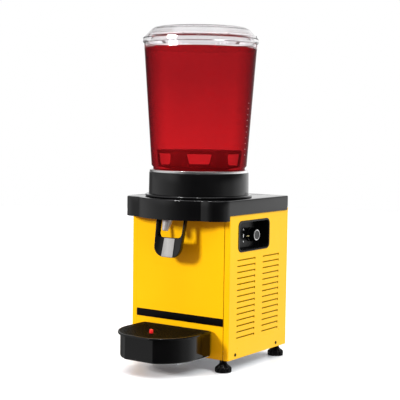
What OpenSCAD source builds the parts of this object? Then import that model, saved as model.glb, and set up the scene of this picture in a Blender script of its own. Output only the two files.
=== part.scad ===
// Counter-top cold drink dispenser: refrigerated cabinet, clear stirred bowl, push-lever tap and drip tray.
// Millimetres. +Z is up, the front faces -Y, and the origin is on the floor under the middle of the overall box.

/* [Cabinet] */
// Width over the two side panels
body_w = 250; // [246:0.5:250.5]
// Depth from the front panel to the rear panel
body_d = 234; // [232:1:238]
// Height of the underside of the cabinet above the floor
body_z0 = 26; // [24:0.5:28]
// Top edge of the sheet panels, under the cover
body_z1 = 329; // [326:0.5:330]
// Sheet thickness of the panels
sheet = 1.2; // [0.8:0.1:1.5]
// Width of the return of each side panel round the front corner
return_w = 12; // [10:0.5:14]
// Outside radius of the folded sheet corners
fold_r = 2.4; // [1.8:0.1:3]
// Lower edge of the bare name strip
strip_z = 95.8; // [90:0.5:130]
// Height of the bare name strip
strip_h = 16.1; // [10:0.5:24]

/* [Louvres] */
// Louvres in each column
louvre_n = 14; // [4:1:14]
// Height of the lowest louvre
louvre_z = 68; // [62:0.5:72]
// Spacing of the louvres
louvre_pitch = 12.4; // [9:0.1:12.6]
// Height of each slit
louvre_h = 3; // [2:0.1:4]

/* [Cover and collar] */
// Width of the top cover
cover_w = 254.7; // [254:0.1:256]
// Top face of the cover
cover_z = 355.3; // [354:0.1:355.6]
// Lower edge of the side skirts
skirt_z = 324.2; // [318:0.1:325]
// Lower edge of the deeper front skirt
front_skirt_z = 313.6; // [308:0.1:318]
// Radius of the bulge round the tap, about the axis of the bowl
bulge_r = 133.5; // [130:0.1:136]
// How far the flat front of the cover stands before the front panel
cover_front = 39.9; // [36:0.1:44]
// Radius of the front corners of the cover
cover_corner = 35; // [24:0.5:35.5]
// Outside radius of the collar
collar_r = 106; // [104.5:0.1:107]
// Top edge of the collar
collar_z = 407.2; // [405:0.1:407.2]

/* [Bowl and lid] */
// Outside radius of the bowl at its foot
bowl_r = 101.5; // [100.5:0.1:102]
// Growth of the radius for each millimetre of height
bowl_taper = 0.072; // [0.06:0.001:0.074]
// Wall of the bowl
bowl_wall = 3; // [2:0.1:3.5]
// Top edge of the bowl
bowl_z1 = 678; // [650:1:690]
// Outside radius of the rim of the lid
lid_r = 122.5; // [122:0.5:125]
// Height of the lid above the bowl
lid_h = 32.8; // [30:0.2:40]

/* [Mixer] */
// Windows round the guard
guard_windows = 6; // [3:1:7]
// Top radius of the guard
guard_r = 88; // [84:0.1:90]
// Paddles on the impeller
paddle_n = 4; // [2:1:6]

/* [Tap] */
// Forward lean of the spout and lever in degrees
tap_tilt = 13.5; // [11:0.5:14]
// Half width of the lever
lever_half = 37; // [35:0.25:37.5]
// Width of each arm of the lever
arm_w = 7; // [6:0.5:8]
// Thickness of the lever
lever_t = 10; // [8:0.5:12]

/* [Drip tray] */
// Half width of the tray rim and radius of its round front
tray_r = 88.5; // [86:0.5:92]
// Reach of the tray from the front panel to its flattened nose
tray_reach = 146; // [142:0.5:148]
// Top of the tray rim
tray_z1 = 85; // [82:0.5:90]
// Underside of the tray
tray_z0 = 31.8; // [31.8:0.2:40]
// Spacing of the holes in the drip grid
hole_pitch = 7; // [7:0.5:12]
// Side of each square hole
hole_w = 4.5; // [3:0.25:5]

/* [Control] */
// Width of the control bezel along the cabinet
bezel_w = 123; // [118:1:126]
// Height of the control bezel
bezel_h = 65; // [60:1:66]
// Depth of the recess behind the side panel
recess = 23; // [20:1:28]
// Radius of the knob
knob_r = 13; // [10:0.5:15]

/* [Feet] */
// Radius of the foot pads
foot_r = 17.8; // [15:0.2:19]

/* [Hidden] */
$fn = 64;
e = 0.01;
// The overall box is centred on the origin, so the front plane follows from the depth, the rear feet and the tray.
FY = -(body_d + foot_r - 12 - tray_reach) / 2;
RY = FY + body_d;
BY = FY + 67;
hw = body_w / 2;
seam = hw - return_w;
// rim of the chilled dish
dish_z = 396;
bowl_z0 = 412;
lid_z = bowl_z1 + 0.3;
knob_y = FY + 113;
knob_z = 277;
bez_y = FY + 93;
bez_z = 279;
floor_x = hw - recess;
foot_xy = [[-106, FY + 12], [106, FY + 12], [-106, RY - 12], [106, RY - 12]];
// centre of the round of the tray rim, and of its tub below
tray_cy = FY - 63;
tub_cy = FY - 58.5;
tub_r = tray_r - 2.5;
float_y = FY - 95;
// hollow of the lever: a wide cylinder leaves the face 5.5 deep in the middle
hollow_r = 127;
hollow_y = 20 - lever_t / 2 - hollow_r;
knob_len = recess - 6;
fan_y = FY + 117;
fan_z = 140;
// tap frame: spout axis, leaning forward
tap_o = [0, FY - 42.8, 312];
pipe_y = BY - 80;
// lever pivot: 14.5 behind the spout axis and 35.5 up it
piv_y = FY - 42.8 + 14.5 * cos(tap_tilt) + 35.5 * sin(tap_tilt);
piv_z = 312 - 14.5 * sin(tap_tilt) + 35.5 * cos(tap_tilt);
comp = [-56, FY + 117];

function bowl_ro(z) = bowl_r + bowl_taper * (z - 419.4);

black = [0.05, 0.05, 0.055];
yellow = [0.98, 0.76, 0.08];
steel = [0.75, 0.76, 0.78];
copper = [0.78, 0.45, 0.28];
zinc = [0.66, 0.68, 0.7];

// ---- shared shapes ----

// rectangle with round corners, centred
module rrect(w, h, r) {
  union() {
    square([w - 2 * r, h], center = true);
    square([w, h - 2 * r], center = true);
    for (sx = [-1, 1], sy = [-1, 1]) translate([sx * (w / 2 - r), sy * (h / 2 - r)]) circle(r = r);
  }
}

// extrudes a flat shape along +X, its own axes lying along Y and Z
module along_x(x0, len) {
  translate([x0, 0, 0]) rotate([90, 0, 90]) linear_extrude(len) children();
}

module rod_x(x0, x1, y, z, r) {
  translate([x0, y, z]) rotate([0, 90, 0]) cylinder(h = x1 - x0, r = r);
}

module rod_y(y0, y1, x, z, r) {
  translate([x, y0, z]) rotate([-90, 0, 0]) cylinder(h = y1 - y0, r = r);
}

module disc(z0, z1, r) {
  translate([0, 0, z0]) cylinder(h = z1 - z0, r = r);
}

module box(a, b) {
  translate(a) cube(b - a);
}

// everything of the tap is drawn upright and leans with this
module leaning() {
  translate(tap_o) rotate([-tap_tilt, 0, 0]) children();
}

// tube of round section along a route with rounded corners
function unit(v) = v / norm(v);
function bend(a, b, c, r) = let(p = b + unit(a - b) * r, q = b + unit(c - b) * r)
  [for (t = [0:0.25:1]) (1 - t) * (1 - t) * p + 2 * t * (1 - t) * b + t * t * q];
function route(p, r) = concat([p[0]], [for (i = [1:len(p) - 2]) each bend(p[i - 1], p[i], p[i + 1], r)], [p[len(p) - 1]]);
function tangent(p, i) = unit(p[min(i + 1, len(p) - 1)] - p[max(i - 1, 0)]);
function flat(v, t) = unit(v - (v * t) * t);
function normals(p, n0, i = 0) = i >= len(p) ? [] : let(n = flat(n0, tangent(p, i))) concat([n], normals(p, n, i + 1));

module pipe(pts, r, seg = 10, closed_bend = 12, start = [0.31, 0.52, 0.8]) {
  p = route(pts, closed_bend);
  sweep(p, r, seg, start);
}

module sweep(p, r, seg, start) {
  n = normals(p, start);
  m = len(p);
  v = [for (i = [0:m - 1]) let(t = tangent(p, i), b = cross(t, n[i]))
    for (k = [0:seg - 1]) p[i] + r * (cos(360 * k / seg) * n[i] + sin(360 * k / seg) * b)];
  f = concat(
    [[for (k = [0:seg - 1]) k]],
    [[for (k = [seg - 1:-1:0]) (m - 1) * seg + k]],
    [for (i = [0:m - 2], k = [0:seg - 1]) let(a = i * seg + k, b = i * seg + (k + 1) % seg) each [[b, a, b + seg], [a, a + seg, b + seg]]]);
  polyhedron(points = v, faces = f);
}

// ---- cabinet ----

// folded pan that carries the machine, with welded nuts for the feet
module base_pan() color(zinc) difference() {
  union() {
    box([-(hw - 1.4), FY + 1.4, body_z0], [hw - 1.4, RY - 1.4, body_z0 + 1.5]);
    for (s = [-1, 1]) translate([s * (hw - 2), 0, 0]) box([-0.6, FY + 15, body_z0], [0.6, RY - 15, body_z0 + 18]);
    box([-108, FY + 1.4, body_z0], [108, FY + 2.6, body_z0 + 18]);
    box([-108, RY - 2.6, body_z0], [108, RY - 1.4, body_z0 + 18]);
    for (p = foot_xy) translate([p[0], p[1], body_z0 + 1]) cylinder(h = 9, r = 8.5, $fn = 6);
  }
  for (p = foot_xy) translate([p[0], p[1], body_z0 - 1]) cylinder(h = 12, r = 4.95);
  for (s = [-1, 1], y = [FY + 27, FY + 190]) rod_x(s * (hw - 2) - 3, s * (hw - 2) + 3, y, 35, 1.7);
  for (x = [-95, 95]) rod_y(RY - 5, RY, x, 38, 1.7);
  for (dx = [-44, 44], dy = [-44, 44]) translate([comp[0] + dx, comp[1] + dy, body_z0 - 1]) cylinder(h = 4, r = 3);
}

module side_sheet() {
  difference() {
    translate([0, (FY + RY) / 2]) rrect(body_w, body_d, fold_r);
    translate([0, (FY + RY) / 2]) rrect(body_w - 2 * sheet, body_d - 2 * sheet, fold_r - sheet);
    translate([-hw - 1, FY - 1]) square([hw + 1 + seam, body_d + 2]);
  }
}

// one pressed louvre at height z: the slit is cut apart from this, the lip slopes inward below it
module louvre_lip(y0, y1, z) {
  translate([0, y1, 0]) rotate([90, 0, 0]) linear_extrude(y1 - y0)
    polygon([[hw, z + louvre_h - e], [hw - sheet, z + louvre_h + 0.9], [hw - sheet - 3.4, z - 0.9], [hw - sheet - 2.5, z - 1.4]]);
}

module louvred_side() {
  difference() {
    union() {
      translate([0, 0, body_z0]) linear_extrude(body_z1 - body_z0) side_sheet();
      box([hw - 12, FY + 14, body_z1 - sheet], [hw - sheet + e, RY - 14, body_z1]);
    }
    for (i = [0:louvre_n - 1], c = [[30, 98.5], [129.5, 194.5]])
      union() {
        box([hw - 4, FY + c[0], louvre_z + i * louvre_pitch], [hw + 1, FY + c[1], louvre_z + i * louvre_pitch + louvre_h]);
        // short relief slit at the rear end
        box([hw - 4, FY + c[1] - 1.2, louvre_z + i * louvre_pitch - 2.2], [hw + 1, FY + c[1] + 1.6, louvre_z + i * louvre_pitch + louvre_h]);
      }
    for (y = [FY + 27, FY + 190]) rod_x(hw - 4, hw + 2, y, 35, 2);
  }
  for (i = [0:louvre_n - 1], c = [[30, 98.5], [129.5, 194.5]])
    louvre_lip(FY + c[0], FY + c[1], louvre_z + i * louvre_pitch);
}

module left_panel() color(yellow) mirror([1, 0, 0]) union() louvred_side();

module right_panel() color(yellow) difference() {
  union() louvred_side();
  along_x(hw - 5, 8) translate([bez_y, bez_z]) rrect(bezel_w - 4.4, bezel_h - 3.4, 10.3);
}

module front_panel() color(yellow) union() {
  box([0.15 - seam, FY, body_z0], [seam - 1.5, FY + sheet, body_z1]);
  box([0.15 - seam, FY + sheet - e, body_z0 + 20], [0.15 - seam + sheet, FY + 12, body_z1]);
  box([seam - 1.5 - sheet, FY + sheet - e, body_z0 + 20], [seam - 1.5, FY + 12, body_z1]);
}

module rear_panel() color(yellow) difference() {
  union() {
    box([-(seam - 1.5), RY - sheet, body_z0], [seam - 1.5, RY, body_z1]);
    for (s = [0, 1]) mirror([s, 0, 0]) box([seam - 1.5 - sheet, RY - 12, body_z0 + 20], [seam - 1.5, RY - sheet + e, body_z1]);
  }
  for (i = [0:11], x = [-78, 8]) box([x, RY - 4, 96 + i * 14], [x + 70, RY + 1, 101 + i * 14]);
  rod_y(RY - 5, RY + 1, 84, 62, 8.05);
  for (x = [-95, 95]) rod_y(RY - 5, RY + 1, x, 38, 2);
}

// carries the bowl end of the machine and the mixer motor, rests on the top folds of the side panels
module top_plate() color(zinc) difference() {
  box([-(hw - 1.6), FY + 14.2, body_z1], [hw - 1.6, RY - 14.2, body_z1 + 2]);
  translate([0, BY, body_z1 - 1]) cylinder(h = 4, r = 10);
  for (x = [-66, 46]) translate([x, BY - 6, body_z1 - 1]) cylinder(h = 4, r = 8);
}

// outline of the cover, moved inward by inset: wide front corners, tight rear corners, round bulge
module cover_plan(inset) {
  w = cover_w / 2 - inset;
  y0 = FY - cover_front + inset;
  y1 = FY + 231 - inset;
  rf = cover_corner - inset;
  rr = 5 - inset;
  union() {
    translate([-w, y0 + rf]) square([2 * w, y1 - rr - y0 - rf]);
    translate([-(w - rf), y0]) square([2 * (w - rf), rf + 20]);
    translate([-(w - rr), y1 - 20]) square([2 * (w - rr), 20]);
    for (s = [-1, 1]) {
      translate([s * (w - rf), y0 + rf]) circle(r = rf);
      translate([s * (w - rr), y1 - rr]) circle(r = rr);
    }
    intersection() {
      translate([0, BY]) circle(r = bulge_r - inset);
      translate([-120, FY - 80]) square([240, 68]);
    }
  }
}

module top_cover() color(black) difference() {
  union() {
    translate([0, 0, skirt_z]) linear_extrude(cover_z - skirt_z) cover_plan(0);
    translate([0, 0, front_skirt_z]) linear_extrude(skirt_z - front_skirt_z + 1) intersection() {
      cover_plan(0);
      translate([-140, FY - 90]) square([280, 86]);
    }
  }
  translate([0, 0, front_skirt_z - 1]) linear_extrude(cover_z - 3 - front_skirt_z + 1) cover_plan(2.1);
  box([-140, RY - 8, front_skirt_z], [140, RY + 5, body_z1 + 2.3]);
  translate([0, BY, cover_z - 5]) cylinder(h = 8, r = 101);
}

module name_strip() color(black) box([-(seam - 1.6), FY - 0.8, strip_z], [seam - 1.6, FY, strip_z + strip_h]);

// ---- collar and chilled dish ----

module collar() color(black) translate([0, BY, 0]) rotate_extrude()
  polygon([[101.5, cover_z], [collar_r + 0.6, cover_z], [collar_r, collar_z], [103, collar_z], [103, cover_z + 3.5], [101.5, cover_z + 3.5]]);

// rolled ring round the foot of the collar
module collar_ring() color(black) translate([0, BY, 0]) rotate_extrude() union() {
  polygon([[collar_r + 0.65, cover_z], [111.7, cover_z], [111.7, cover_z + 5.3], [collar_r + 0.65, cover_z + 5.3]]);
  translate([111.7, cover_z + 2.65]) circle(r = 2.65);
}

module evaporator_dish() color(steel) translate([0, BY, 0]) difference() {
  rotate_extrude() polygon([[0, dish_z], [88, dish_z], [88, collar_z], [105, collar_z], [105, 412.2], [103.2, 412.2], [103.2, collar_z + 2], [86.5, collar_z + 2], [86.5, dish_z + 1.5], [0, dish_z + 1.5]]);
  disc(dish_z - 1, dish_z + 3, 4);
  translate([0, -80, dish_z - 1]) cylinder(h = 4, r = 7);
}

// tube soldered below the dish: half turns about two centres make the spiral
module evaporator_coil() color(copper) translate([0, BY, 391.8]) union() {
  for (r = [46, 56, 66]) rotate_extrude(angle = 180) translate([r, 0]) circle(r = 4);
  for (r = [51, 61]) translate([5, 0, 0]) rotate([0, 0, 180]) rotate_extrude(angle = 180) translate([r, 0]) circle(r = 4);
  for (x = [46, -66]) {
    translate([x, 0, -6]) rotate([0, 0, 0]) rod_y(-6, 0, 0, 6, 4);
    translate([x, -6, -47]) cylinder(h = 47, r = 4);
    translate([x, -6, 0]) sphere(r = 4);
  }
}

module insulation_ring() color([0.93, 0.9, 0.8]) translate([0, BY, 0]) difference() {
  disc(364, 387, 102.4);
  disc(363, 388, 40);
  translate([0, -80, 363]) cylinder(h = 26, r = 7.4);
  for (x = [46, -66]) translate([x, -6, 363]) cylinder(h = 26, r = 4.5);
}

module impeller_spindle() color(steel) translate([0, BY, 0]) union() {
  disc(dish_z - 3, dish_z, 9);
  disc(dish_z - 1, 422, 4);
}

module bowl_gasket() color([0.85, 0.86, 0.86]) translate([0, BY, 0]) rotate_extrude()
  translate([89, collar_z + 2]) square([13.2, 2.5]);

// ---- bowl ----

module bowl() color([0.85, 0.9, 0.93, 0.4]) translate([0, BY, 0]) rotate_extrude()
  polygon([[95, bowl_z0], [102.6, bowl_z0], [102.6, 418.4], [bowl_r, 419.4], [bowl_ro(bowl_z1), bowl_z1],
    [bowl_ro(bowl_z1) - bowl_wall, bowl_z1], [bowl_ro(421) - bowl_wall, 421], [95, 417.5]]);

module bowl_lid() color([0.85, 0.9, 0.93, 0.4]) translate([0, BY, 0]) union() {
  rotate_extrude() polygon([[112.6, lid_z - 7], [115, lid_z - 7], [115, lid_z], [121, lid_z], [lid_r, lid_z + 3.2], [lid_r, lid_z + 10.6],
    [lid_r - 1.5, lid_z + 12.4], [118.4, lid_z + 13.2], [105.2, lid_z + lid_h - 4.4], [97.5, lid_z + lid_h], [0, lid_z + lid_h],
    [0, lid_z + lid_h - 2.5], [96.8, lid_z + lid_h - 2.5], [103.6, lid_z + lid_h - 6.2], [115.4, lid_z + 12], [112.6, lid_z + 8.5]]);
  for (a = [0:7]) rotate([0, 0, a * 45 + 8]) translate([120.3, 0, lid_z + 12]) cylinder(h = 2.8, r = 1.6);
}

// ---- mixer ----

module mixer_guard() color(black) translate([0, BY, 0]) difference() {
  rotate_extrude() polygon([[56, dish_z + 1.8], [59, dish_z + 1.8], [59, 414], [guard_r - 3.5, 419.4], [guard_r, 452.4], [guard_r - 1, 454.4],
    [12, 454.4], [12, 451.2], [guard_r - 3.8, 451.2], [guard_r - 6.4, 422.2], [56, 416.8]]);
  for (k = [0:guard_windows - 1]) rotate([0, 0, -55.4 + k * 360 / guard_windows]) translate([62, 0, 0]) rotate([90, 0, 90])
    linear_extrude(height = 32) polygon([[-18.4, 422.5], [18.4, 422.5], [21.35, 424.6], [26.65, 445.1], [24.6, 447.3], [-24.6, 447.3], [-26.65, 445.1], [-21.35, 424.6]]);
}

module impeller() color([0.12, 0.12, 0.13]) translate([0, BY, 0]) difference() {
  union() {
    disc(399, 405, 38);
    disc(399, 420.5, 9);
    for (k = [0:paddle_n - 1]) rotate([0, 0, k * 360 / paddle_n]) box([6, -1.6, 403], [41, 1.6, 419.5]);
  }
  disc(398, 421.5, 4.05);
}

module motor_shaft() color(steel) translate([0, BY, 0]) disc(292, 389, 3);

// magnet carrier under the dish, turns the impeller through it
module drive_rotor() color([0.3, 0.3, 0.33]) translate([0, BY, 0]) difference() {
  union() {
    disc(379, 388.5, 34);
    disc(368, 380, 8);
  }
  disc(360, 390, 3);
}

module mixer_motor() color([0.35, 0.36, 0.38]) translate([0, BY, 0]) difference() {
  union() {
    disc(284, body_z1 - 2, 28);
    translate([0, 0, body_z1 - 4]) linear_extrude(4) rrect(70, 70, 8);
  }
  disc(290, body_z1 + 1, 3.05);
}

// ---- tap ----

module tap_body() color(black) leaning() difference() {
  union() {
    disc(0, 22, 9.5);
    rotate([tap_tilt, 0, 0]) rod_y(3.5, 16, 0, 13.5, 5);
  }
  disc(-1, 4, 3.6);
  disc(3, 10, 7.2);
  disc(9, 13, 4.5);
  disc(12, 23, 7.2);
  rotate([tap_tilt, 0, 0]) rod_y(3.4, 18, 0, 13.5, 3.4);
}

module tap_cap() color(black) leaning() difference() {
  union() {
    disc(22, 25, 9.5);
    disc(20.4, 22.5, 7.2);
  }
  disc(16, 26, 2.05);
}

module tap_spout() color(steel) leaning() difference() {
  translate([0, 0, -25.5]) cylinder(h = 25.5, r1 = 6.4, r2 = 10.8);
  translate([0, 0, -26]) cylinder(h = 27, r = 3.6);
}

// carries the drink from the floor of the dish to the tap
module outlet_pipe() color([0.8, 0.82, 0.8]) difference() {
  union() {
    translate([0, pipe_y, 319]) cylinder(h = dish_z + 1.5 - 319, r = 7);
    rod_y(FY - 26.8, pipe_y, 0, 325.5, 5);
  }
  translate([0, pipe_y, 321]) cylinder(h = 80, r = 5);
  rod_y(FY - 40, pipe_y, 0, 325.5, 3.4);
}

module tap_plunger() color([0.9, 0.9, 0.88]) leaning() union() {
  disc(6.5, 8.8, 6.2);
  disc(7, 33, 2);
  disc(31.5, 33.5, 6.5);
}

module plunger_seal() color([0.4, 0.08, 0.06]) leaning() difference() {
  disc(8.8, 9.9, 6.2);
  disc(8, 11, 2);
}

// return spring round the stem, between cap and head
module tap_spring() color(steel) leaning() sweep([for (t = [0:15:1260]) [4.6 * cos(t), 4.6 * sin(t), 25.7 + 5.1 * t / 1260]], 0.6, 8, [0.7, 0.1, 0.3]);

// bracket on the front panel: two ears for the lever and a saddle under the tap body
module tap_bracket() color([0.16, 0.16, 0.17]) difference() {
  union() {
    box([-46, FY - 3, 314], [46, FY, 349]);
    for (s = [-1, 1]) translate([s * 40.2, 0, 0]) {
      box([-2, piv_y - 2, 334], [2, FY - 2, 349]);
      rod_x(-2, 2, piv_y, piv_z, 6);
    }
    box([-13, FY - 41, 314.5], [13, FY - 2, 318]);
  }
  rod_x(-50, 50, piv_y, piv_z, 3);
  leaning() disc(-5, 20, 9.5);
}

module lever_pins() color(steel) for (s = [0, 1]) mirror([s, 0, 0]) rod_x(27.5, 43.6, piv_y, piv_z, 3);

// the paddle plate, drawn flat, x across and y along the lever: arms that close in a little downwards, round lower corners
module lever_plan() {
  h = lever_half;
  g = lever_half - arm_w;
  difference() {
    union() {
      polygon([[-h, 40], [-h, -5], [3.24 - h, -55.4], [25.2 - h, -76], [h - 25.2, -76], [h - 3.24, -55.4], [h, -5], [h, 40]]);
      for (s = [-1, 1]) translate([s * (h - 25.2), -54]) circle(r = 22);
    }
    polygon([[-g, 60], [-g, -5], [1.3 - g, -26.2], [10.3 - g, -34.6], [g - 10.3, -34.6], [g - 1.3, -26.2], [g, -5], [g, 60]]);
    for (s = [-1, 1]) translate([s * (g - 10.3), -25.6]) circle(r = 9);
  }
}

module tap_lever() color(black) difference() {
  leaning() difference() {
    union() {
      translate([0, 14.5 + lever_t / 2, 0]) rotate([90, 0, 0]) linear_extrude(lever_t) lever_plan();
      for (s = [0, 1]) mirror([s, 0, 0]) {
        box([lever_half - arm_w, -3, 32], [lever_half, 14.5, 39.5]);
        rod_x(lever_half - arm_w, lever_half, 14.5, 35.5, 6.2);
      }
      rod_x(-lever_half + 1, lever_half - 1, 0, 36.56, 3);
    }
    translate([0, hollow_y, -90]) cylinder(h = 75, r = hollow_r, $fn = 180);
  }
  rod_x(-60, 60, piv_y, piv_z, 3.05);
}

// bright plate lying in the hollow of the paddle
module lever_insert() color(steel) leaning() intersection() {
  translate([0, 40, 0]) rotate([90, 0, 0]) linear_extrude(60) polygon([[-13.4, -36], [13.4, -36], [14.4, -75.6], [-14.4, -75.6]]);
  translate([0, hollow_y, -90]) difference() {
    cylinder(h = 75, r = hollow_r, $fn = 180);
    translate([0, 0, -1]) cylinder(h = 77, r = hollow_r - 1.2, $fn = 180);
  }
}

// ---- drip tray ----

// outline with a round front cut flat at the nose, moved inward by d from the rim
module tray_plan(d) {
  r = tray_r - d;
  intersection() {
    union() {
      difference() {
        translate([0, tray_cy]) circle(r = r);
        translate([-r - 1, tray_cy]) square([2 * r + 2, r + 1]);
      }
      translate([-r, tray_cy]) square([2 * r, 59 - d]);
    }
    translate([-r - 1, FY - tray_reach + d]) square([2 * r + 2, 200]);
  }
}

// half section of a tub: straight wall with a round lower edge
module tub_half(r, h, rb) {
  union() {
    square([r - rb, h]);
    translate([0, rb]) square([r, h - rb]);
    translate([r - rb, rb]) circle(r = rb);
  }
}

// tub with a half-round front cut flat at y0, its straight back end at y1
module tub(r, z0, h, rb, y0, y1) {
  intersection() {
    union() {
      translate([0, tub_cy, z0]) rotate([0, 0, 180]) rotate_extrude(angle = 180) tub_half(r, h, rb);
      for (s = [0, 1]) mirror([s, 0, 0]) translate([0, y1, z0]) rotate([90, 0, 0]) linear_extrude(y1 - tub_cy) tub_half(r, h, rb);
    }
    box([-r - 1, y0, z0 - 1], [r + 1, y1 + 1, z0 + h + 1]);
  }
}

module drip_tray() color(black) difference() {
  union() {
    tub(tub_r, tray_z0, tray_z1 - tray_z0 - 2, 5, FY - tray_reach + 9, FY - 4);
    translate([0, 0, tray_z1 - 7]) linear_extrude(7) tray_plan(0);
  }
  tub(tub_r - 3, tray_z0 + 3, 60, 4, FY - tray_reach + 12, FY - 7);
  translate([0, 0, tray_z1 - 4]) linear_extrude(10) tray_plan(3);
}

module drip_grid() color(black) translate([0, 0, tray_z1 - 3.8]) linear_extrude(3) difference() {
  tray_plan(3.4);
  for (i = [-10:10], j = [0:20]) let(x = i * hole_pitch, y = FY - 13 - j * hole_pitch)
    if (norm([x, min(0, y - tray_cy)]) < tray_r - 11 && y > FY - tray_reach + 10 && norm([x, y - float_y]) > 9)
      translate([x - hole_w / 2, y - hole_w / 2]) square(hole_w);
  translate([0, float_y]) circle(r = 4.3);
}

// float that rises through the grid when the tray is full
module tray_float() color([0.85, 0.05, 0.04]) translate([0, float_y, 0]) union() {
  disc(tray_z0 + 3.3, tray_z0 + 13, 11);
  disc(tray_z0 + 12, tray_z1 + 7, 4);
}

// two arms that the tray slides onto
module tray_bracket() color(zinc) union() {
  box([-70, FY - 2, 27.3], [70, FY, 62]);
  for (x = [-60, 60]) box([x - 7, FY - 96, 27.3], [x + 7, FY - 1, tray_z0 - 0.3]);
}

// ---- control ----

module control_bezel() color(black) difference() {
  union() {
    along_x(hw, 1.2) translate([bez_y, bez_z]) rrect(bezel_w, bezel_h, 12);
    along_x(floor_x - 2.5, recess + 3) translate([bez_y, bez_z]) rrect(bezel_w - 5, bezel_h - 4, 10);
  }
  along_x(floor_x, recess + 5) translate([bez_y, bez_z]) rrect(bezel_w - 9, bezel_h - 8, 8);
  rod_x(floor_x - 5, floor_x + 5, knob_y, knob_z, 3.05);
}

module selector_switch() color([0.8, 0.78, 0.7]) difference() {
  box([floor_x - 28, knob_y - 18, knob_z - 17], [floor_x - 2.5, knob_y + 18, knob_z + 17]);
  rod_x(floor_x - 20, floor_x, knob_y, knob_z, 3.05);
}

module selector_shaft() color(steel) rod_x(floor_x - 18, floor_x + knob_len - 5, knob_y, knob_z, 3);

module control_knob() color(black) difference() {
  union() {
    rod_x(floor_x + 0.4, floor_x + 3.4, knob_y, knob_z, knob_r + 2);
    rod_x(floor_x + 3, floor_x + knob_len, knob_y, knob_z, knob_r);
  }
  rod_x(floor_x - 1, floor_x + knob_len - 5, knob_y, knob_z, 3);
  difference() {
    rod_x(floor_x + knob_len - 1, floor_x + knob_len + 1, knob_y, knob_z, 11.6);
    rod_x(floor_x + knob_len - 2, floor_x + knob_len + 2, knob_y, knob_z, 8.2);
  }
}

module knob_cap() color(steel) difference() {
  rod_x(floor_x + knob_len - 1, floor_x + knob_len + 0.8, knob_y, knob_z, 11.6);
  rod_x(floor_x + knob_len - 2, floor_x + knob_len + 2, knob_y, knob_z, 8.2);
}

// ---- cooling ----

module compressor() color([0.12, 0.12, 0.13]) translate([comp[0], comp[1], 0]) union() {
  translate([0, 0, 44]) rotate_extrude() polygon(concat([[0, 0], [52, 0], [56, 6], [56, 96]], [for (a = [10:10:80]) [30 + 26 * cos(a), 96 + 22 * sin(a)]], [[30, 118], [0, 118]]));
  translate([0, 0, 41]) linear_extrude(4) rrect(106, 106, 12);
  box([-14, -68, 62], [14, -50, 104]);
}

module compressor_mounts() color([0.08, 0.08, 0.08]) for (dx = [-44, 44], dy = [-44, 44]) translate([comp[0] + dx, comp[1] + dy, 0]) disc(body_z0 + 1.5, 41, 8);

module condenser_fins() color([0.7, 0.72, 0.74]) for (i = [0:23]) translate([0, FY + 42 + i * 6.5 + 0.8, 0]) rotate([90, 0, 0]) linear_extrude(0.8) difference() {
  translate([90, 44]) square([28, 190]);
  for (k = [0:5]) translate([104, 59 + k * 32]) circle(r = 4.05);
}

module condenser_coil() color(copper) union() {
  for (k = [0:5]) rod_y(FY + 38, FY + 196, 104, 59 + k * 32, 4);
  for (k = [0:4]) translate([104, k % 2 == 0 ? FY + 196 : FY + 38, 75 + k * 32]) rotate([0, 90, 0]) rotate([0, 0, k % 2 == 0 ? 0 : 180])
    rotate_extrude(angle = 180) translate([16, 0]) circle(r = 4);
}

module fan_shroud() color([0.25, 0.25, 0.26]) difference() {
  union() {
    box([86, FY + 42, 44], [88, FY + 194, 234]);
    rod_x(66, 87, fan_y, fan_z, 72);
    for (s = [-1, 1]) box([44, fan_y + s * 40 - 4, fan_z - 76], [86.5, fan_y + s * 40 + 4, fan_z - 70]);
    box([44, fan_y - 44, fan_z - 76], [48, fan_y + 44, fan_z - 24]);
  }
  rod_x(49, 90, fan_y, fan_z, 70);
  rod_x(40, 50, fan_y, fan_z, 28.05);
}

module fan_motor() color([0.3, 0.3, 0.32]) difference() {
  rod_x(18, 56, fan_y, fan_z, 28);
  rod_x(30, 60, fan_y, fan_z, 3.05);
}

module fan_blade() color([0.75, 0.76, 0.78]) union() {
  rod_x(60, 80, fan_y, fan_z, 16);
  rod_x(32, 64, fan_y, fan_z, 3);
  for (k = [0:4]) translate([70, fan_y, fan_z]) rotate([k * 72, 0, 0]) translate([0, 0, 12]) rotate([0, 0, 28]) box([-0.8, -17, 0], [0.8, 17, 53]);
}

module filter_drier() color(copper) translate([60, RY - 22, 0]) union() {
  disc(250, 310, 9);
  translate([0, 0, 242]) cylinder(h = 8, r1 = 4, r2 = 9);
  translate([0, 0, 310]) cylinder(h = 8, r1 = 9, r2 = 4);
}

module suction_line() color(copper) pipe([[-66, BY - 6, 344.8], [-66, BY - 6, 240], [-90, BY + 10, 225], [-90, comp[1] + 66, 205], [comp[0], comp[1] + 68, 120], [comp[0], comp[1] + 68, 100], [comp[0], comp[1] + 55, 100]], 3.5, 10, 5);

module discharge_line() color(copper) pipe([[comp[0] + 32, comp[1] - 44.5, 80], [comp[0] + 52, comp[1] - 72, 80], [60, FY + 20, 59], [104, FY + 20, 59], [104, FY + 38, 59]], 2.5, 8, 6);

module capillary_line() color(copper) union() {
  pipe([[104, FY + 38, 219], [104, FY + 20, 219], [80, FY + 20, 228], [60, FY + 24, 239], [60, RY - 22, 239], [60, RY - 22, 242]], 2, 8, 1.5);
  pipe([[60, RY - 22, 318], [60, RY - 22, 323], [46, RY - 60, 323], [46, BY - 6, 323], [46, BY - 6, 344.8]], 2, 8, 2);
}

module cable_gland() color(black) difference() {
  union() {
    rod_y(RY, RY + 2, 84, 62, 11);
    rod_y(RY - 14, RY + 1, 84, 62, 8);
  }
  rod_y(RY - 15, RY + 3, 84, 62, 3.6);
}

module screw() {
  rotate([0, -90, 0]) union() {
    disc(-1.5, 0, 3.4);
    disc(-1, 7, 1.6);
  }
}

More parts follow.
